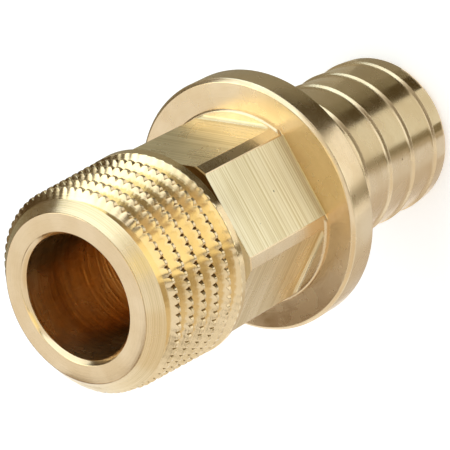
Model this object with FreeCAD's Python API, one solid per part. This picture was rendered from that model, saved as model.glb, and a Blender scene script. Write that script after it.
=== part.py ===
import FreeCAD, Part
import math
import os

os.makedirs("parts", exist_ok=True)

# Male threaded adapter, one turned brass piece, in millimetres.
# Heights named here count from the thread's end face; the finished body is turned over at the
# end, so that it stands on its insert with the thread up and the axis on Z.

# whole piece
length = 51.3
bore_radius = 6.25
bore_chamfer = 0.4
bore_end_chamfer = 0.25

# taper thread R 1/2, right-hand: pitch, half angle of the flanks and growth of radius per length
pitch = 1.814
flank_angle = math.radians(27.5)
taper = 1 / 32
crest_radius = 10.22
thread_depth = 1.162
root_flat = 0.30
thread_end = 12.3
face_radius = 8.48

# height of the groove's middle on the side of +X, and where its even part ends, in turns from there
groove_phase = 3.06
groove_turns = 4.63
runout_turn = 0.25
runout_rise = 1.5

# neck between the thread and the wrench section
neck_radius = 8.85
neck_slope = 0.57
neck_end = 13.95

# hexagonal wrench section milled on a cylinder, and the low collar it stops at
strip_radius = 10.08
across_flats = 18.0
section_chamfer = 0.35
collar_radius = 10.34
collar_front = 25.8
flat_fillet = 0.4

# flange
flange_front = 26.24
flange_back = 29.83
flange_radius = 13.37
flange_chamfer = 0.34

# pipe insert: rings with a short rise on the flange side and a long slope to the next one
insert_root = 8.25
insert_peak = 8.52
first_ring = 36.2
ring_spacing = 4.13
ring_count = 4
ring_rise = 0.42
end_round = 1.3


def crest_at(z):
    return crest_radius + taper * z


def at(radius, z):
    return FreeCAD.Vector(radius, 0, z)


def lines(points):
    edges = []
    for (r1, z1), (r2, z2) in zip(points[:-1], points[1:]):
        edges.append(Part.makeLine(at(r1, z1), at(r2, z2)))
    return edges


# The outside, from the thread's end face to the rounding of the insert's end: the 45 degree
# chamfer runs up to the crest cone, which ends in a flank-like slope down to the neck.
chamfer_top = (crest_radius - face_radius) / (1 - taper)
outside = [(bore_radius + bore_chamfer, 0.0), (face_radius, 0.0)]
outside += [(crest_at(chamfer_top), chamfer_top), (crest_at(thread_end), thread_end)]
outside += [(neck_radius, thread_end + neck_slope), (neck_radius, neck_end)]
outside += [(strip_radius - section_chamfer, neck_end)]
outside += [(strip_radius, neck_end + section_chamfer), (strip_radius, collar_front)]
outside += [(collar_radius, collar_front), (collar_radius, flange_front)]
outside += [(flange_radius - flange_chamfer, flange_front)]
outside += [(flange_radius, flange_front + flange_chamfer)]
outside += [(flange_radius, flange_back - flange_chamfer)]
outside += [(flange_radius - flange_chamfer, flange_back), (insert_root, flange_back)]
for ring in range(ring_count):
    peak = first_ring + ring * ring_spacing
    outside += [(insert_root, peak - ring_rise), (insert_peak, peak)]

# The last slope is as steep as the others and runs into the rounding of the end.
slope = (insert_peak - insert_root) / (ring_spacing - ring_rise)
round_start = length - end_round
last_peak = first_ring + (ring_count - 1) * ring_spacing
tip_radius = insert_peak - slope * (round_start - last_peak)
outside += [(tip_radius, round_start)]
round_centre = tip_radius - end_round
diagonal = end_round * math.sqrt(0.5)
tip = Part.Arc(
    at(tip_radius, round_start),
    at(round_centre + diagonal, round_start + diagonal),
    at(round_centre, length),
).toShape()

inside = [(round_centre, length), (bore_radius + bore_end_chamfer, length)]
inside += [(bore_radius, length - bore_end_chamfer), (bore_radius, bore_chamfer)]
inside += [(bore_radius + bore_chamfer, 0.0)]

outline = Part.Wire(lines(outside) + [tip] + lines(inside))
body = Part.Face(outline).revolve(at(0, 0), FreeCAD.Vector(0, 0, 1), 360)

# Six flats, milled from the neck backwards. Four stop at the collar, where the cutter leaves a
# small fillet; the two opposite ones that a wrench grips run through it to the flange.
flat_distance = across_flats / 2
slab_start = (thread_end + neck_slope + neck_end) / 2
slab_depth = collar_radius
slab_width = 2 * collar_radius


def flat_cutter(end):
    return Part.makeBox(
        slab_depth,
        slab_width,
        end - slab_start,
        FreeCAD.Vector(flat_distance, -slab_width / 2, slab_start),
    )


slab = flat_cutter(collar_front)
for edge in slab.Edges:
    middle = edge.CenterOfMass
    if abs(middle.x - flat_distance) < 1e-6 and abs(middle.z - collar_front) < 1e-6:
        slab = slab.makeFillet(flat_fillet, [edge])
        break
for side in range(6):
    runs_through = side % 3 == 1
    cutter = flat_cutter(flange_front) if runs_through else slab.copy()
    cutter.rotate(FreeCAD.Vector(0, 0, 0), FreeCAD.Vector(0, 0, 1), 30 + 60 * side)
    body = body.cut(cutter)

# Thread groove. Its section is a trapezoid with the flanks carried on above the crest, drawn
# square to the axis plane and swept along the helix with its own axis held upright.
overlap = 0.3


def groove_profile(radius):
    half = root_flat / 2
    top = thread_depth + overlap
    wide = half + top * math.tan(flank_angle)
    corners = [(radius, -half), (radius + top, -wide), (radius + top, wide), (radius, half)]
    return Part.Wire(lines(corners + corners[:1]))


# A conical helix is measured along its slant, so pitch and height are stretched to match.
def groove(radius, height, cone):
    slant = 1 / math.cos(math.radians(cone))
    helix = Part.makeHelix(pitch * slant, height * slant, radius, cone)
    sweep = Part.BRepOffsetAPI.MakePipeShell(Part.Wire(helix.Edges))
    sweep.setBiNormalMode(FreeCAD.Vector(0, 0, 1))
    sweep.add(groove_profile(radius))
    sweep.build()
    sweep.makeSolid()
    return sweep.shape()


def cut_groove(solid, turn, turns, cone):
    z = groove_phase + pitch * turn
    stretch = groove(crest_at(z) - thread_depth, pitch * turns, cone)
    stretch.rotate(FreeCAD.Vector(0, 0, 0), FreeCAD.Vector(0, 0, 1), 360 * turn)
    stretch.translate(FreeCAD.Vector(0, 0, z))
    return solid.cut(stretch)


# It starts in the air before the end face and is cut one turn after the other, then rises out of
# the crest over a part of a turn.
turn = math.floor(-groove_phase / pitch) - 0.5
thread_cone = math.degrees(math.atan(taper))
while groove_turns - turn > 1e-6:
    turns = min(1.0, groove_turns - turn)
    body = cut_groove(body, turn, turns, thread_cone)
    turn += turns
rise_cone = math.degrees(math.atan(runout_rise / (pitch * runout_turn)))
body = cut_groove(body, turn, runout_turn, rise_cone)

# Turned over, to stand on the insert's end face.
body.rotate(FreeCAD.Vector(0, 0, 0), FreeCAD.Vector(1, 0, 0), 180)
body.translate(FreeCAD.Vector(0, 0, length))
if body.ShapeType == "Compound":
    body = body.Solids[0]
body.exportStep("parts/adapter_body.step")
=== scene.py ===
import math

import bpy
import numpy as np
from mathutils import Matrix, Vector


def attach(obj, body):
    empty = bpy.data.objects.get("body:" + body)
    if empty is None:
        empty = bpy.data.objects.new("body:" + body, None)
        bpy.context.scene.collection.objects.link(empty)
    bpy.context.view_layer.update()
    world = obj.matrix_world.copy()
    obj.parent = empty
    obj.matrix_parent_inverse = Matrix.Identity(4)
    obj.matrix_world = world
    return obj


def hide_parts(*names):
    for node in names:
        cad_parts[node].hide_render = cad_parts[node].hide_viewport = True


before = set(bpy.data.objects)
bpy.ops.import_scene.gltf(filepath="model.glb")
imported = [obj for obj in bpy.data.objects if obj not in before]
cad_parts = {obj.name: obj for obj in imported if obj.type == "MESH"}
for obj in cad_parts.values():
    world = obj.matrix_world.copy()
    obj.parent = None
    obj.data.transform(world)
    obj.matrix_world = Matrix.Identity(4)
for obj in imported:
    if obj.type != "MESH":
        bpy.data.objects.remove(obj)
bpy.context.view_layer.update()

# The adapter is one piece of brass bar, turned, threaded and milled. Its skin is one closed net:
# rows run around the axis and follow its outline from the thread's end face over the outside to
# the insert's end and back through the bore. The columns keep step with the notches of the
# thread's crests. Lengths are in millimetres, heights count down from the thread's end face, and
# the angle runs clockwise as seen from there, from the side of +X. Each face has the number of
# one of eight finishes, which stand further down in this order.
turned, chamfered, threaded, milled, coarse, bored, painted_shade, faced = range(8)
notch_count = 68
columns_per_notch = 8
column_count = notch_count * columns_per_notch
first_notch_angle = math.radians(2.41)
around = first_notch_angle + np.arange(column_count + 1) * 2 * math.pi / column_count


def plain_rows(corners):
    """Rows of a turned outline: each corner (height, radius, ease) becomes the three points
    u = 0, 1/2 and 1 of (1-u)^2 A + 2u(1-u) C + u^2 B, where C is the corner and A and B lie at
    the ease length from it towards its neighbours. An ease of 0 keeps the corner as one row. The
    first and last corners only give directions."""
    corners = np.asarray(corners, dtype=float)
    rows = []
    for before, corner, after in zip(corners[:-2], corners[1:-1], corners[2:]):
        centre, ease = corner[:2], corner[2]
        if ease == 0:
            rows.append(centre[None, :])
            continue
        back = before[:2] - centre
        ahead = after[:2] - centre
        start = centre + back * ease / np.linalg.norm(back)
        end = centre + ahead * ease / np.linalg.norm(ahead)
        u = np.array([0.0, 0.5, 1.0])[:, None]
        rows.append((1 - u) ** 2 * start + 2 * u * (1 - u) * centre + u**2 * end)
    outline = np.concatenate(rows)
    heights = np.repeat(outline[:, :1], around.size, axis=1)
    radii = np.repeat(outline[:, 1:], around.size, axis=1)
    return heights, radii, np.broadcast_to(around, heights.shape)


# Thread end face: a flat ring around the bore, faced on the lathe, with a small chamfer inside
# and the wide 45 degree chamfer of the thread's start outside.
bore_radius = 6.25
bore_chamfer = 0.4
face_radius = 8.48
face_rows = plain_rows(
    [
        (bore_chamfer + 1, bore_radius, 0),
        (bore_chamfer, bore_radius, 0.06),
        (0, bore_radius + bore_chamfer, 0.05),
        (0, face_radius, 0.06),
        (1, face_radius + 1, 0),
    ]
)

# Male taper thread: a helical groove with 27.5 degree flanks cut into a cone, its crests notched
# along the axis by a knurl so that hemp or tape holds on them. Depths are measured from the cone.
pitch = 1.814
crest_radius = 10.22
taper = 1 / 32
thread_depth = 1.162
root_flat = 0.30
flank = math.tan(math.radians(27.5))
groove_phase = 3.06
groove_turns = 4.63
runout_turn = 0.25
runout_rise = 1.5
thread_end = 12.3
rows_per_groove = 8
first_crest_row = 5
crest_middle_half = 0.05
crest_bevel = 0.025
flank_swell = 0.01
notch_depth = 0.31
last_notch_depth = 0.04
notch_half_width = 0.3
notch_power = 1.3
notch_angle = 2 * math.pi / notch_count

# The pits of the notches get painted shade, a dark colour for the shade and dark reflection in
# them. A pit is what lies deeper than lit_pit_depth on the lamp's side, where the cosine of the
# angle is above lit_edge, and than pit_depth elsewhere.
lit_pit_depth = 0.2
pit_depth = 0.13
lit_edge = 0.1
tolerance = 1e-6


def thread_rows():
    """Rows that follow the helix: groove number k lies at height phase + pitch * (turn + k), with
    eight rows for each groove, from the crest in front of it over its two flanks to the middle
    of the crest behind it. A crest is lowered by notch depth * (1 - distance from the nearest
    notch / its half width)^1.3, its edges are bevelled, and the flanks swell by a cosine of the
    notches' angle, where the knurl has pushed the brass aside. The notches fade to the last
    crest, and the groove rises out of the cone over a part of a turn. What would stand outside
    the chamfer's cone, radius = face radius + height, is put onto it, and what would pass the
    thread's end, onto that."""
    turn = around / (2 * math.pi)
    first_groove = math.floor(-groove_phase / pitch) - 1
    last_groove = math.ceil((thread_end - groove_phase) / pitch)
    groove = turn[None, :] + np.arange(first_groove, last_groove + 1)[:, None]
    middle = groove_phase + pitch * groove
    from_notch = (around - first_notch_angle + notch_angle / 2) % notch_angle - notch_angle / 2
    from_notch = np.abs(from_notch) * crest_radius
    cut = np.clip(1 - from_notch / notch_half_width, 0, 1) ** notch_power
    fade_heights = [thread_end - 2 * pitch, thread_end - pitch]
    fade_depths = [notch_depth, last_notch_depth]
    front_notch = np.interp(middle - pitch, fade_heights, fade_depths) * cut
    back_notch = np.interp(middle, fade_heights, fade_depths) * cut
    crest_notch = np.interp(middle, fade_heights, [notch_depth, 0]) * cut
    depth = thread_depth - runout_rise * (groove - groove_turns) / runout_turn
    depth = np.clip(depth, 0, thread_depth)
    depth_share = depth / thread_depth
    front_notch = front_notch * depth_share
    back_notch = back_notch * depth_share
    crest_notch = crest_notch * depth_share
    root = np.maximum(depth, back_notch)
    swell = flank_swell * np.cos(notch_count * (around - first_notch_angle)) * depth_share
    half = root_flat / 2

    def crest_edge(notch):
        below = np.maximum(np.minimum(notch + crest_bevel, depth), notch)
        reach = half + np.clip(root - notch, 0, None) * flank + crest_bevel + swell
        reach_below = half + np.clip(root - below, 0, None) * flank + swell
        return reach, reach_below, below

    front_notch = np.where(middle > thread_end, 0, front_notch)
    front_reach, front_reach_below, front_below = crest_edge(front_notch)
    back_reach, back_reach_below, back_below = crest_edge(back_notch)
    offsets = [-front_reach, -front_reach_below, -half, half, back_reach_below, back_reach]
    offsets += [pitch / 2 - crest_middle_half, pitch / 2 + crest_middle_half]
    offsets = [offset + 0 * middle for offset in offsets]
    lowered = [front_notch, front_below, root, root, back_below, back_notch]
    lowered += [crest_notch, crest_notch]
    heights = middle[:, None, :] + np.stack(offsets, axis=1)
    radii = crest_radius + taper * heights - np.stack(lowered, axis=1)
    heights = heights.reshape(-1, around.size)
    radii = radii.reshape(-1, around.size)

    # A row that stands outside the cone next to one that doesn't slides along the line between
    # them onto the cone. The row that np.roll brings round from the other end doesn't count.
    above = radii - face_radius - heights
    outside = above > 0
    cut_heights = np.maximum(heights, 0)
    cut_radii = np.minimum(radii, face_radius + cut_heights)
    for step, brought_round in ((-1, -1), (1, 0)):
        next_above = np.roll(above, step, axis=0)
        next_above[brought_round] = 1
        crossing = outside & (next_above <= 0)
        slide = above / np.where(crossing, above - next_above, 1)
        crossing_height = heights + slide * (np.roll(heights, step, axis=0) - heights)
        cut_heights = np.where(crossing, crossing_height, cut_heights)
        cut_radii = np.where(crossing, face_radius + crossing_height, cut_radii)
    on_cone = np.abs(cut_radii - face_radius - cut_heights) < tolerance
    past_end = cut_heights > thread_end
    cut_heights = np.where(past_end, thread_end, cut_heights)
    cut_radii = np.where(past_end, crest_radius + taper * thread_end, cut_radii)
    rows = cut_heights, cut_radii, np.broadcast_to(around, cut_heights.shape)

    lowered = np.stack([0 * middle + notch for notch in lowered], axis=1).reshape(heights.shape)
    on_crest = np.arange(len(heights))[:, None] % rows_per_groove >= first_crest_row
    least = np.where(np.cos(around) > lit_edge, lit_pit_depth, pit_depth)
    # Faces deep in a notch get painted shade, which reaches less deep on the lamp's side.
    shaded_pit = on_crest & (np.minimum(lowered, np.roll(lowered, -1, axis=1)) > least)
    finish = np.where(shaded_pit, painted_shade, threaded)
    return rows, np.where(on_cone & np.roll(on_cone, -1, axis=0), chamfered, finish)


# Neck and wrench section: six flats milled on a turned cylinder, from the neck backwards. Four
# stop at a low collar before the flange, and the two that a wrench grips run through it.
neck_radius = 8.85
neck_slope = 0.57
neck_end = 13.95
strip_radius = 10.08
flat_distance = 9.0
section_chamfer = 0.1
flat_fillet = 0.45
collar_radius = 10.34
collar_front = 25.8
collar_round = 0.25
flange_front = 26.24
through_fillet = 0.16
quarter_rows = 6
last_fillet_row = 1 + quarter_rows
neck_rows = plain_rows(
    [
        (thread_end, crest_radius, 0),
        (thread_end + neck_slope, neck_radius, 0.15),
        (neck_end, neck_radius, 0.1),
        (neck_end, strip_radius, 0),
    ]
)


def section_rows():
    """Rows of the section: radius is the lesser of the cylinder's and of flat distance / cos of
    the angle to the nearest flat's normal. At the end of a flat its distance grows by a quarter
    round, before the collar or, on the two long flats, at the flange. The collar's front edge
    is a quarter round too. Columns are shifted a little, so that some lie on the edges of the
    flats. The chamfer at the neck gets painted shade on the lamp's side, a dark colour for shade
    and dark reflection, and the rest, apart from the flats, is turned."""
    edge = math.acos(flat_distance / strip_radius)
    edges = math.pi / 2 + np.arange(-12, 13)[:, None] * math.pi / 3 + np.array([-edge, edge])
    edges = edges.reshape(-1)
    nearest = np.round((edges - first_notch_angle) / (around[1] - around[0]))
    angle = np.interp(np.arange(around.size), nearest, edges)
    flat_number = np.round((angle - math.pi / 2) / (math.pi / 3))
    widening = 1 / np.cos(angle - math.pi / 2 - flat_number * math.pi / 3)
    long_flat = flat_number % 3 == 0
    front = np.minimum(strip_radius - section_chamfer, flat_distance * widening)
    side = np.minimum(strip_radius, flat_distance * widening)
    chamfer_end = neck_end + np.clip(side - strip_radius + section_chamfer, 0, None)
    bend = np.linspace(0, math.pi / 2, quarter_rows)[:, None]
    level = 0 * widening

    fillet_height = collar_front - flat_fillet * (1 - np.sin(bend)) + level
    fillet_distance = flat_distance + flat_fillet * (1 - np.cos(bend)) * ~long_flat
    fillet_radius = np.minimum(strip_radius, fillet_distance * widening)
    collar_foot = np.where(long_flat, side, collar_radius - collar_round)
    collar_cut = np.where(long_flat, flat_distance * widening, collar_radius)
    collar_height = collar_front + collar_round * (1 - np.cos(bend)) + level
    collar_rise = collar_radius - collar_round * (1 - np.sin(bend))
    collar_rise = np.minimum(collar_rise, collar_cut)
    end_height = flange_front - through_fillet * (1 - np.sin(bend)) + level
    end_distance = flat_distance + through_fillet * (1 - np.cos(bend))
    end_radius = np.where(long_flat, end_distance * widening, collar_radius)
    end_radius = np.minimum(end_radius, collar_radius)

    heights = [neck_end + level, chamfer_end, *fillet_height, collar_front + level]
    radii = [front, side, *fillet_radius, collar_foot]
    heights = np.stack([*heights, *collar_height, *end_height])
    radii = np.stack([*radii, *collar_rise, *end_radius])
    on_flat = side < strip_radius - tolerance
    flat_finish = np.where(long_flat, coarse, milled)
    finish = np.where(on_flat & np.append(on_flat[1:], False), flat_finish, turned)
    finish = finish * np.ones((len(heights), 1), int)
    # The chamfer at the neck gets painted shade on the lamp's side.
    finish[0] = np.where(np.cos(angle) > lit_edge, painted_shade, turned)
    past_fillet = finish[last_fillet_row:]
    finish[last_fillet_row:] = np.where(past_fillet == milled, turned, past_fillet)
    finish[-1] = turned
    return (heights, radii, np.broadcast_to(angle, heights.shape)), finish


# Flange, turned from the bar's full width. It stops the sliding sleeve that presses the pipe onto
# the insert behind it. Its edges are broken, and a hair of the front one has the faced finish.
flange_back = 29.83
flange_radius = 13.37
flange_chamfer = 0.34
insert_root = 8.25
flange_rows = plain_rows(
    [
        (flange_front, collar_radius, 0),
        (flange_front, flange_radius - flange_chamfer, 0.08),
        (flange_front + flange_chamfer, flange_radius, 0.08),
        (flange_back - flange_chamfer, flange_radius, 0.1),
        (flange_back, flange_radius - flange_chamfer, 0.1),
        (flange_back, insert_root, 0.15),
        (flange_back + 1, insert_root, 0),
    ]
)
flange_finish = np.full((len(flange_rows[0]), 1), turned)
flange_finish[0] = faced

# Pipe insert: a spigot with four turned rings. Each rises over a hollow curve on the flange side
# to a sharp edge and falls gently from there, so that the pipe slips on but can't be pulled off.
adapter_length = 51.3
insert_peak = 8.52
first_ring = 36.2
ring_spacing = 4.13
ring_count = 4
ring_rise = 0.6
rise_angle = math.radians(36)
ring_edge = 0.04
arc_rows = 6
end_round = 1.3
end_rows = 7


def insert_rows():
    """Rows of the rings: first a hollow arc, height = start + R sin p and radius = root +
    R (1 - cos p) for p from 0 to the rise's angle, then the rise runs on straight to a small
    eased edge, and a straight fall to the next root; behind the last ring a quarter round of the
    end. R is what makes arc and straight reach the peak together."""
    peaks = first_ring + ring_spacing * np.arange(ring_count)[:, None]
    peak_height = insert_peak - insert_root
    steep = math.tan(rise_angle)
    arc_share = steep * math.sin(rise_angle) + math.cos(rise_angle) - 1
    hollow = (ring_rise * steep - peak_height) / arc_share
    p = rise_angle * np.linspace(0, 1, arc_rows)
    rise_heights = peaks - ring_rise + hollow * np.sin(p)
    rise_radii = insert_root + hollow * (1 - np.cos(p)) + 0 * peaks
    edge_start = peaks - ring_edge
    edge_radii = insert_peak - ring_edge * steep + 0 * peaks
    slope = peak_height / (ring_spacing - ring_rise)
    edges_past_peak = np.array([0.5, 2.0])
    fall_heights = peaks + ring_edge * edges_past_peak
    fall_radii = insert_peak - slope * ring_edge * edges_past_peak + 0 * peaks
    heights = np.concatenate([rise_heights, edge_start, fall_heights], axis=1).reshape(-1)
    radii = np.concatenate([rise_radii, edge_radii, fall_radii], axis=1).reshape(-1)
    round_start = adapter_length - end_round
    tip_radius = insert_peak - slope * (round_start - peaks[-1, 0])
    bend = np.linspace(0, math.pi / 2, end_rows)
    heights = np.append(heights, round_start + end_round * np.sin(bend))
    radii = np.append(radii, tip_radius - end_round * (1 - np.cos(bend)))
    heights = np.repeat(heights[:, None], around.size, axis=1)
    radii = np.repeat(radii[:, None], around.size, axis=1)
    return heights, radii, np.broadcast_to(around, heights.shape)


# Bore: drilled through from end to end, with an edge broken at the insert's end. Three rows on
# the way keep its triangles from being drawn out too long.
bore_end_chamfer = 0.25
bore_rows = plain_rows(
    [
        (adapter_length, bore_radius + 1, 0),
        (adapter_length, bore_radius + bore_end_chamfer, 0.05),
        (adapter_length - bore_end_chamfer, bore_radius, 0.05),
        (adapter_length * 0.75, bore_radius, 0),
        (adapter_length * 0.5, bore_radius, 0),
        (adapter_length * 0.25, bore_radius, 0),
        (0, bore_radius, 0),
    ]
)

# The whole skin, all parts in the order in which the net runs over them. The neck shows the
# rough feed of its tool, and gets painted shade on the lamp's side.
parts = [
    (face_rows, faced),
    thread_rows(),
    (neck_rows, np.where(np.cos(around) > lit_edge, painted_shade, coarse)),
    section_rows(),
    (flange_rows, flange_finish),
    (insert_rows(), turned),
    (bore_rows, bored),
]
MM = 0.001
merge_digits = 5
sharp_angle = math.radians(24)


def closed_net(parts):
    """Vertices and triangles of the skin: rows of all parts one after the other, the last joined
    to the first. A point is (r cos a, -r sin a, length - height). Points that fall together are
    merged, which closes the seam of the helical rows, and triangles without area are dropped."""
    heights = np.concatenate([rows[0] for rows, finish in parts])
    radii = np.concatenate([rows[1] for rows, finish in parts])
    angles = np.concatenate([rows[2] for rows, finish in parts])
    finishes = [finish * np.ones(rows[0].shape, int) for rows, finish in parts]
    points = [radii * np.cos(angles), -radii * np.sin(angles), adapter_length - heights]
    points = np.stack(points, axis=-1)
    index = np.arange(points[..., 0].size).reshape(len(points), -1)
    below = np.roll(index, -1, axis=0)
    a, b, c, d = index[:, :-1], index[:, 1:], below[:, 1:], below[:, :-1]
    triangles = np.stack([np.stack([a, b, c], -1), np.stack([a, c, d], -1)], axis=2)
    finish = np.repeat(np.concatenate(finishes)[:, :-1].reshape(-1), 2)
    points = points.reshape(-1, 3)
    _, first, same = np.unique(
        np.round(points, merge_digits), axis=0, return_index=True, return_inverse=True
    )
    triangles = same.reshape(-1)[triangles.reshape(-1, 3)]
    p, q, r = triangles.T
    real = (p != q) & (q != r) & (r != p)
    return points[first] * MM, triangles[real], finish[real]


vertices, triangles, finish = closed_net(parts)
mesh = bpy.data.meshes.new("adapter_skin")
mesh.from_pydata(vertices.tolist(), [], triangles.tolist())
mesh.polygons.foreach_set("material_index", finish.astype(np.int32))
mesh.set_sharp_from_angle(angle=sharp_angle)
mesh.update()
adapter = bpy.data.objects.new("adapter_skin", mesh)
bpy.context.collection.objects.link(adapter)
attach(adapter, "root")
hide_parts("adapter_body")


def linear(hex_colour):
    """Linear RGBA of an sRGB hex colour such as "#E2CC98"."""
    channels = [int(hex_colour[i : i + 2], 16) / 255 for i in (1, 3, 5)]
    return [c / 12.92 if c <= 0.04045 else ((c + 0.055) / 1.055) ** 2.4 for c in channels] + [1.0]


def add_node(tree, kind, settings=None, **inputs):
    """Adds a node, sets its properties, and feeds each named input, or numbered one as _0: a
    socket is linked, any other value is set on the input."""
    node = tree.nodes.new(kind)
    for name, value in (settings or {}).items():
        setattr(node, name, value)
    for name, value in inputs.items():
        key = int(name[1:]) if name[1:].isdigit() else name.replace("_", " ")
        socket = node.inputs[key]
        if isinstance(value, bpy.types.NodeSocket):
            tree.links.new(value, socket)
        else:
            socket.default_value = value
    return node


# Bare machined brass, the metal as the tools left it: pale gold, with a softly blurred mirror
# image that is drawn out square to the tool marks. The marks are really some hundredths of a
# millimetre apart, too fine to show, so they are drawn 0.1 to 0.3 mm apart, and in the bore about
# half a millimetre.
mark_shade = "#B08E58"
nick_shade = "#6E5430"
patches_per_mm = 0.28
nick_cells_per_mm = 0.45


def brass_finish(
    name, *, pale, warm, gloss, spread, drift, rise, steps, mark_depth, streak, nick_share
):
    """A finish of brass. The marks are noise on the point (drift * x + rise * radius, drift * y,
    steps * height), all in marks per millimetre: rings on what is turned, with rise and steps
    alike and no drift, and straight cross lines on what is milled, with no rise and little
    drift. Between its pale and its warm tone the colour follows the marks by the share streak,
    and otherwise patches of some millimetres, with which the gloss changes too. The lowest marks
    are a shade darker. Of the cells of a 2.2 mm net the share nick_share has a dark nick of
    0.1 mm."""
    material = bpy.data.materials.new(name)
    material.use_nodes = True
    tree = material.node_tree
    tree.nodes.clear()
    place = add_node(tree, "ShaderNodeTexCoord").outputs["Object"]
    mm = add_node(
        tree, "ShaderNodeVectorMath", {"operation": "MULTIPLY"},
        _0=place, _1=(1 / MM, 1 / MM, 1 / MM),
    )
    level = add_node(
        tree, "ShaderNodeVectorMath", {"operation": "MULTIPLY"}, _0=mm.outputs[0], _1=(1, 1, 0)
    )
    radius = add_node(tree, "ShaderNodeVectorMath", {"operation": "LENGTH"}, _0=level.outputs[0])
    outward = add_node(
        tree, "ShaderNodeMath", {"operation": "MULTIPLY"}, _0=radius.outputs["Value"], _1=rise
    )
    outward = add_node(tree, "ShaderNodeCombineXYZ", X=outward.outputs[0])
    track = add_node(
        tree, "ShaderNodeVectorMath", {"operation": "MULTIPLY_ADD"},
        _0=mm.outputs[0], _1=(drift, drift, steps), _2=outward.outputs[0],
    )
    marks = add_node(
        tree, "ShaderNodeTexNoise", Vector=track.outputs[0], Scale=1.0, Detail=4.0, Roughness=0.62
    )
    patches = add_node(
        tree, "ShaderNodeTexNoise",
        Vector=mm.outputs[0], Scale=patches_per_mm, Detail=3.0, Roughness=0.55,
    )
    cells = add_node(tree, "ShaderNodeTexVoronoi", Vector=mm.outputs[0], Scale=nick_cells_per_mm)
    near = add_node(
        tree, "ShaderNodeMapRange", Value=cells.outputs["Distance"],
        From_Min=0.025, From_Max=0.05, To_Min=1.0, To_Max=0.0,
    )
    chance = add_node(tree, "ShaderNodeSeparateColor", _0=cells.outputs["Color"])
    chosen = add_node(
        tree, "ShaderNodeMath", {"operation": "LESS_THAN"}, _0=chance.outputs[0], _1=nick_share
    )
    nick = add_node(
        tree, "ShaderNodeMath", {"operation": "MULTIPLY"}, _0=near.outputs[0], _1=chosen.outputs[0]
    )
    patch_marks = add_node(
        tree, "ShaderNodeMapRange", Value=patches.outputs[0],
        From_Min=0.35, From_Max=0.65, To_Min=0.55, To_Max=1.0,
    )
    height = add_node(
        tree, "ShaderNodeMath", {"operation": "MULTIPLY"},
        _0=marks.outputs[0], _1=patch_marks.outputs[0],
    )
    height = add_node(
        tree, "ShaderNodeMath", {"operation": "SUBTRACT"}, _0=height.outputs[0], _1=nick.outputs[0]
    )
    bump = add_node(
        tree, "ShaderNodeBump", Strength=1.0, Distance=mark_depth * MM, Height=height.outputs[0]
    )
    tone = add_node(
        tree, "ShaderNodeMix", {"data_type": "FLOAT"},
        _0=streak, _2=patches.outputs[0], _3=marks.outputs[0],
    )
    tone = add_node(
        tree, "ShaderNodeMapRange", Value=tone.outputs[0],
        From_Min=0.38, From_Max=0.62, To_Min=0.0, To_Max=1.0,
    )
    brass = add_node(
        tree, "ShaderNodeMix", {"data_type": "RGBA"},
        _0=tone.outputs[0], _6=linear(pale), _7=linear(warm),
    )
    lined = add_node(
        tree, "ShaderNodeMapRange", Value=marks.outputs[0],
        From_Min=0.25, From_Max=0.42, To_Min=0.25, To_Max=0.0,
    )
    lined = add_node(
        tree, "ShaderNodeMix", {"data_type": "RGBA"},
        _0=lined.outputs[0], _6=brass.outputs[2], _7=linear(mark_shade),
    )
    colour = add_node(
        tree, "ShaderNodeMix", {"data_type": "RGBA"},
        _0=nick.outputs[0], _6=lined.outputs[2], _7=linear(nick_shade),
    )
    roughness = add_node(
        tree, "ShaderNodeMapRange", Value=patches.outputs[0],
        From_Min=0.35, From_Max=0.65, To_Min=gloss - 0.03, To_Max=gloss + 0.05,
    )
    around_axis = add_node(tree, "ShaderNodeTangent", {"direction_type": "RADIAL", "axis": "Z"})
    shader = add_node(
        tree, "ShaderNodeBsdfPrincipled",
        Base_Color=colour.outputs[2], Metallic=1.0, Roughness=roughness.outputs[0],
        Anisotropic=spread, Anisotropic_Rotation=0.25,
        Tangent=around_axis.outputs[0], Normal=bump.outputs[0],
    )
    add_node(tree, "ShaderNodeOutputMaterial", Surface=shader.outputs[0])
    mesh.materials.append(material)


# Turned with a fine feed, on flange, insert, collar and the strips between the flats: faint rings
# around the axis, and an image that is drawn out along it.
brass_finish(
    "turned_brass", pale="#E8D1AC", warm="#DFC59C", gloss=0.25, spread=0.3,
    drift=0, rise=4.5, steps=4.5, mark_depth=0.012, streak=0.3, nick_share=0.5,
)
# Turned with a coarser feed, on the 45 degree chamfer of the thread's start: rings that show.
brass_finish(
    "coarse_turned_brass", pale="#EBD6B0", warm="#D8C092", gloss=0.25, spread=0.3,
    drift=0, rise=9.0, steps=9.0, mark_depth=0.012, streak=1.0, nick_share=0.1,
)
# Cut by the threading tool, on crests, flanks and roots: smooth and bright.
brass_finish(
    "threaded_brass", pale="#EAD2A8", warm="#E4CA9C", gloss=0.16, spread=0.2,
    drift=0, rise=4.5, steps=4.5, mark_depth=0.010, streak=0.15, nick_share=0.1,
)
# Milled, on the four short flats: straight lines across, which draw the image out upwards.
brass_finish(
    "milled_brass", pale="#EFDBB4", warm="#D2BA8A", gloss=0.27, spread=0.5,
    drift=0.05, rise=0, steps=5.0, mark_depth=0.018, streak=0.8, nick_share=0.15,
)
# Milled with a rougher feed, on the two long flats, and turned so on the neck: a pale, dull
# surface with strong lines and no clear image.
brass_finish(
    "coarse_milled_brass", pale="#FFF2D4", warm="#DFCA9A", gloss=0.5, spread=0.85,
    drift=0.03, rise=0, steps=7.0, mark_depth=0.02, streak=1.0, nick_share=0.15,
)
# Drilled and left rough, in the bore: wavy, wide marks with a deep golden tone.
brass_finish(
    "bored_brass", pale="#F0D2A0", warm="#CFA66C", gloss=0.25, spread=0.4,
    drift=0.1, rise=0, steps=1.8, mark_depth=0.1, streak=0.8, nick_share=0,
)
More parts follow.
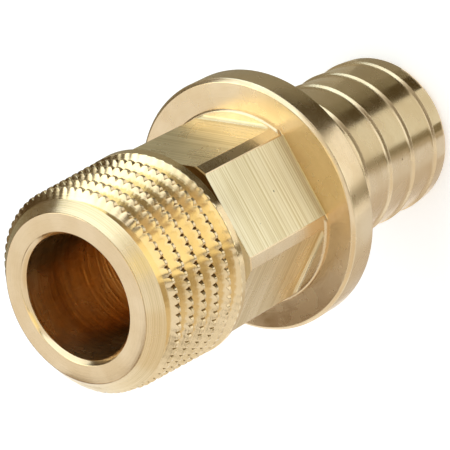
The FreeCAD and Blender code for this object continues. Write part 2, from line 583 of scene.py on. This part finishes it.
# Painted shade, in the pits of the notches and on the lamp's side of the neck and its chamfer:
# brown and dull, a dark colour that stands for shade and dark reflection.
brass_finish(
    "painted_shade_brass", pale="#8E7044", warm="#7E6036", gloss=0.35, spread=0.3,
    drift=0, rise=3.0, steps=3.0, mark_depth=0.006, streak=0.2, nick_share=0.3,
)
# Faced, on the thread's end face and the bore's chamfer there: shallow rings, and a clearer image
# than on what is turned.
brass_finish(
    "faced_brass", pale="#E8D1AC", warm="#DFC59C", gloss=0.18, spread=0.2,
    drift=0, rise=4.5, steps=4.5, mark_depth=0.008, streak=0.3, nick_share=0.5,
)


# Floor: a wide pale paper sheet that the adapter stands on. It keeps the adapter's shadow, and
# shows the camera and the metal the white of the paper.
def seen_directly(tree):
    """1 for rays that come from the camera, off something glossy or through glass, otherwise 0:
    the sum of the three signs, cut at 1."""
    path = add_node(tree, "ShaderNodeLightPath")
    seen = add_node(
        tree, "ShaderNodeMath", {"operation": "ADD", "use_clamp": True},
        _0=path.outputs["Is Camera Ray"], _1=path.outputs["Is Glossy Ray"],
    )
    seen = add_node(
        tree, "ShaderNodeMath", {"operation": "ADD", "use_clamp": True},
        _0=seen.outputs[0], _1=path.outputs["Is Transmission Ray"],
    )
    return seen.outputs[0]


floor_mesh = bpy.data.meshes.new("floor")
floor_size = 3.0
floor_corners = [
    (-floor_size, -floor_size, 0),
    (floor_size, -floor_size, 0),
    (floor_size, floor_size, 0),
    (-floor_size, floor_size, 0),
]
floor_mesh.from_pydata(floor_corners, [], [(0, 1, 2, 3)])
floor = bpy.data.objects.new("floor", floor_mesh)
bpy.context.collection.objects.link(floor)
floor_material = bpy.data.materials.new("white_paper_floor")
floor_material.use_nodes = True
tree = floor_material.node_tree
tree.nodes.clear()
lit = add_node(tree, "ShaderNodeBsdfDiffuse", Color=linear("#F2F2F0"))
glow = add_node(tree, "ShaderNodeEmission", Color=(1, 1, 1, 1), Strength=0.36)
both = add_node(tree, "ShaderNodeAddShader", _0=lit.outputs[0], _1=glow.outputs[0])
mix = add_node(
    tree, "ShaderNodeMixShader", _0=seen_directly(tree), _1=lit.outputs[0], _2=both.outputs[0]
)
add_node(tree, "ShaderNodeOutputMaterial", Surface=mix.outputs[0])
floor_mesh.materials.append(floor_material)

# World: even, plain light from all sides, as in a white studio. What the camera and the metal see
# of it is white.
world = bpy.data.worlds.new("studio")
bpy.context.scene.world = world
world.use_nodes = True
tree = world.node_tree
tree.nodes.clear()
plain = add_node(tree, "ShaderNodeBackground", Color=(1, 1, 1, 1), Strength=0.85)
white = add_node(tree, "ShaderNodeBackground", Color=(1, 1, 1, 1), Strength=1.0)
mix = add_node(
    tree, "ShaderNodeMixShader", _0=seen_directly(tree), _1=plain.outputs[0], _2=white.outputs[0]
)
add_node(tree, "ShaderNodeOutputWorld", Surface=mix.outputs[0])

# Lamp: one large, cool soft box on the side of +X, above the adapter and turned to its middle. It
# lights one side of the brass and gives the adapter its soft shadow on the floor.
adapter_middle = Vector((0, 0, 0.03))
lamp_distance = 0.40
lamp_azimuth = math.radians(-10)
lamp_elevation = math.radians(42)
lamp_data = bpy.data.lights.new("soft_box", "AREA")
lamp_data.shape = "RECTANGLE"
lamp_data.size = 0.48
lamp_data.size_y = 0.38
lamp_data.energy = 0.44
lamp_data.color = (0.62, 0.86, 1.0)
lamp = bpy.data.objects.new("soft_box", lamp_data)
lamp.location = adapter_middle + lamp_distance * Vector(
    (
        math.cos(lamp_elevation) * math.cos(lamp_azimuth),
        math.cos(lamp_elevation) * math.sin(lamp_azimuth),
        math.sin(lamp_elevation),
    )
)
lamp.rotation_euler = (adapter_middle - lamp.location).to_track_quat("-Z", "Y").to_euler()
bpy.context.collection.objects.link(lamp)


# Glowing sheets around the adapter, dark and bright, seen by the metal alone: painted reflections
# that give the brass its bands. They are out of the camera's sight, light nothing else and cast no
# shadow. Lengths are in metres.
def card(name, corners, colour, strength):
    """A glowing sheet with the given corners: a painted reflection, seen by the metal alone."""
    card_mesh = bpy.data.meshes.new(name)
    card_mesh.from_pydata([tuple(corner) for corner in corners], [], [tuple(range(len(corners)))])
    sheet = bpy.data.objects.new(name, card_mesh)
    bpy.context.collection.objects.link(sheet)
    material = bpy.data.materials.new(name + "_paper")
    material.use_nodes = True
    tree = material.node_tree
    tree.nodes.clear()
    glow = add_node(tree, "ShaderNodeEmission", Color=linear(colour), Strength=strength)
    add_node(tree, "ShaderNodeOutputMaterial", Surface=glow.outputs[0])
    card_mesh.materials.append(material)
    sheet.visible_camera = False
    sheet.visible_shadow = False
    sheet.visible_diffuse = False


# Sheets on the floor close to the adapter, which its upright faces mirror as their bands. Where
# sheets overlap, they lie at one, two or three times the card height, so that none cuts another.
camera_azimuth = -89.5
insert_foot_radius = 0.0085
card_height = 0.0003
near_reach = 0.062
far_start = 0.08
far_reach = 0.6


def ray_start(offset):
    """Point of the insert at an angle offset from the camera's side, seen from above, and the
    direction in which it mirrors what the camera sees there."""
    azimuth = math.radians(camera_azimuth - offset)
    mirrored = math.radians(camera_azimuth - 2 * offset)
    start = np.array([math.cos(azimuth), math.sin(azimuth)]) * insert_foot_radius
    return start, np.array([math.cos(mirrored), math.sin(mirrored)])


def floor_card(name, line, line_2, colour, strength, reach=near_reach, near=(), height=card_height):
    """A sheet on the floor between two lines of a start and a direction, with more corners near
    the adapter where its first edge bends."""
    start, along = line
    start_2, along_2 = line_2
    corners = [start_2, start_2 + reach * along_2, start + reach * along, *near, start]
    card(name, [(*corner, height) for corner in corners], colour, strength)


bend = np.array([0.0105, -0.0341])
dark_start = ray_start(-14)[0]
dark_bend = np.array([0.0079, -0.0192])
dark_along = (bend - dark_bend) / np.linalg.norm(bend - dark_bend)
floor_card(
    "dark_floor_card", (dark_start, dark_along), ray_start(-27), "#4F442A", 1.0,
    near=(bend, dark_bend), height=2 * card_height,
)
start, along = ray_start(-36)
card(
    "left_floor_card",
    [
        (*start, card_height),
        (*(start + near_reach * along), card_height),
        (far_reach, far_reach, card_height),
        (0, far_reach, card_height),
        (0, 0.008, card_height),
    ],
    "#98937F",
    1.0,
)
floor_card("shade_floor_card", ray_start(-27), ray_start(-36), "#85806A", 1.0)
floor_card("stripe_floor_card", ray_start(14.5), ray_start(20.5), "#857C62", 1.0)
floor_card("front_floor_card", ray_start(-14), ray_start(14.5), "#EEF0E6", 1.0, reach=0.016)
floor_card("stripe_edge_floor_card", ray_start(20.5), ray_start(25), "#BDB5A2", 1.0, reach=0.018)
floor_card("side_floor_card", ray_start(25), ray_start(40), "#ECEDEF", 1.0)
floor_card("right_floor_card", ray_start(40), ray_start(68), "#D9D2C9", 1.0)

# Sheets that are parts of rings on the floor. The far ones show in what leans back a little and in
# the drawn-out image of the flats, the strip's in a strip between two flats, and the foot's in the
# insert.
strip_start = 0.0385
foot_start = 0.008
foot_reach = 0.015
for name, first, last, corner_count, inner, outer, height, colour, strength in (
    ("far_card_left", 12, -25, 6, far_start, far_reach, 2 * card_height, "#D4F0FF", 2.8),
    ("far_card_dark", -25, -51, 6, far_start, far_reach, 2 * card_height, "#92928A", 1.0),
    ("far_card_shade", -51, -71, 6, far_start, far_reach, 2 * card_height, "#FFFFFA", 0.9),
    ("far_card_bright", -71, -115, 6, far_start, far_reach, 2 * card_height, "#F0FFFF", 1.95),
    ("far_card_gap", -115, -141, 6, far_start, far_reach, 2 * card_height, "#E6EAE2", 0.85),
    ("far_card_right", -141, -200, 6, far_start, far_reach, 2 * card_height, "#E8F2FF", 1.3),
    ("strip_floor_card", -27, -45, 4, strip_start, near_reach, 3 * card_height, "#40341A", 1.0),
    ("foot_floor_card", -14, 95, 8, foot_start, foot_reach, 2 * card_height, "#B2AD98", 1.0),
):
    arc = np.radians(np.linspace(first, last, corner_count))
    directions = np.stack([np.cos(arc), np.sin(arc)], axis=1)
    corners = np.concatenate([inner * directions, outer * directions[::-1]])
    card(name, [(*corner, height) for corner in corners], colour, strength)

# A warm round sheet under the bore, which its wall mirrors.
bore_card_radius = 0.006
bore_angle = np.arange(24) * math.pi / 12
bore_circle = [(bore_card_radius * math.cos(a), bore_card_radius * math.sin(a)) for a in bore_angle]
card("bore_floor_card", [(*corner, card_height) for corner in bore_circle], "#FFF4DC", 1.0)

# Sheets under the ceiling, straight above, which the upper flanks of the thread mirror.
ceiling = 0.53
ceiling_front = -0.35
ceiling_back = 0.15
for name, left, right, colour, strength in (
    ("ceiling_card_middle", -0.118, 0.112, "#FFF6D4", 1.4),
    ("ceiling_card_left", 0.112, 0.160, "#5A4A34", 0.6),
    ("ceiling_card_right", -0.157, -0.118, "#6A5A40", 0.8),
):
    corners = [
        (left, ceiling_front, ceiling),
        (right, ceiling_front, ceiling),
        (right, ceiling_back, ceiling),
        (left, ceiling_back, ceiling),
    ]
    card(name, corners, colour, strength)

# Standing sheets, from behind the adapter round to the camera's side. They give what faces up, the
# end face, the chamfer, the thread's upper flanks and the flange's front, its dark, golden and
# bright parts.
card(
    "back_left_card",
    [(0.45, 0.10, 0.0), (0.45, 0.10, 0.14), (0.1, 0.5, 0.14), (0.1, 0.5, 0.0)],
    "#7A6A50",
    0.9,
)
card(
    "back_right_card",
    [(-0.07, 0.3, 0.35), (-0.3, 0.3, 0.35), (-0.3, 0.3, 0.5), (-0.07, 0.3, 0.5)],
    "#86683A",
    1.0,
)
card(
    "right_card",
    [(-0.3, 0.3, 0.31), (-0.3, 0.12, 0.40), (-0.3, 0.12, 0.529), (-0.3, 0.3, 0.529)],
    "#4A3404",
    1.0,
)
card(
    "flange_foot_card",
    [
        (-0.0105, 0.04, 0.05),
        (-0.0105, 0.04, 0.08),
        (-0.0135, 0.04, 0.0785),
        (-0.032, 0.04, 0.0755),
        (-0.032, 0.04, 0.05),
    ],
    "#755408",
    0.9,
)
card(
    "right_low_card",
    [
        (-0.287, -0.201, 0.05),
        (-0.317, 0.148, 0.05),
        (-0.317, 0.148, 0.177),
        (-0.287, -0.201, 0.376),
    ],
    "#F2E8D8",
    1.0,
)
card(
    "back_lamp_card",
    [(0.28, 0.05, 0.275), (0.16, 0.24, 0.275), (0.12, 0.18, 0.40), (0.21, 0.04, 0.40)],
    "#F8FFF4",
    2.9,
)
card(
    "back_side_card",
    [(0.417, 0.17, 0.14), (0.21, 0.40, 0.14), (0.21, 0.40, 0.38), (0.417, 0.17, 0.38)],
    "#5A4A34",
    0.8,
)
card(
    "lamp_side_card",
    [(0.24, -0.26, 0.0), (0.35, 0.01, 0.0), (0.35, 0.01, 0.125), (0.24, -0.26, 0.125)],
    "#E4F4FF",
    2.2,
)
card(
    "camera_side_card",
    [(-0.34, -0.45, 0.055), (0.34, -0.45, 0.055), (0.34, -0.45, 0.27), (-0.34, -0.45, 0.27)],
    "#6A5A38",
    1.0,
)
card(
    "camera_top_card",
    [(-0.1, -0.40, 0.455), (0.1, -0.40, 0.455), (0.1, -0.33, 0.529), (-0.1, -0.33, 0.529)],
    "#FFF2A8",
    1.25,
)

# Camera at the photograph's place: it looks down at the standing adapter and is turned on its
# own axis, as the adapter lies askew in the picture.
eye = Vector((1.4707, -171.9495, 209.1081)) * MM
looked_at = Vector((-0.7320, 2.9766, 25.65)) * MM
roll = math.radians(-118.8316)
camera_data = bpy.data.cameras.new("camera")
camera_data.sensor_width = 36
camera_data.lens = 201.053
camera_data.clip_start = 0.01
camera_data.clip_end = 10
camera = bpy.data.objects.new("camera", camera_data)
bpy.context.collection.objects.link(camera)
aim = (looked_at - eye).to_track_quat("-Z", "Y").to_matrix() @ Matrix.Rotation(roll, 3, "Z")
camera.matrix_world = Matrix.Translation(eye) @ aim.to_4x4()
bpy.context.scene.camera = camera

bpy.context.scene.view_settings.view_transform = "Standard"
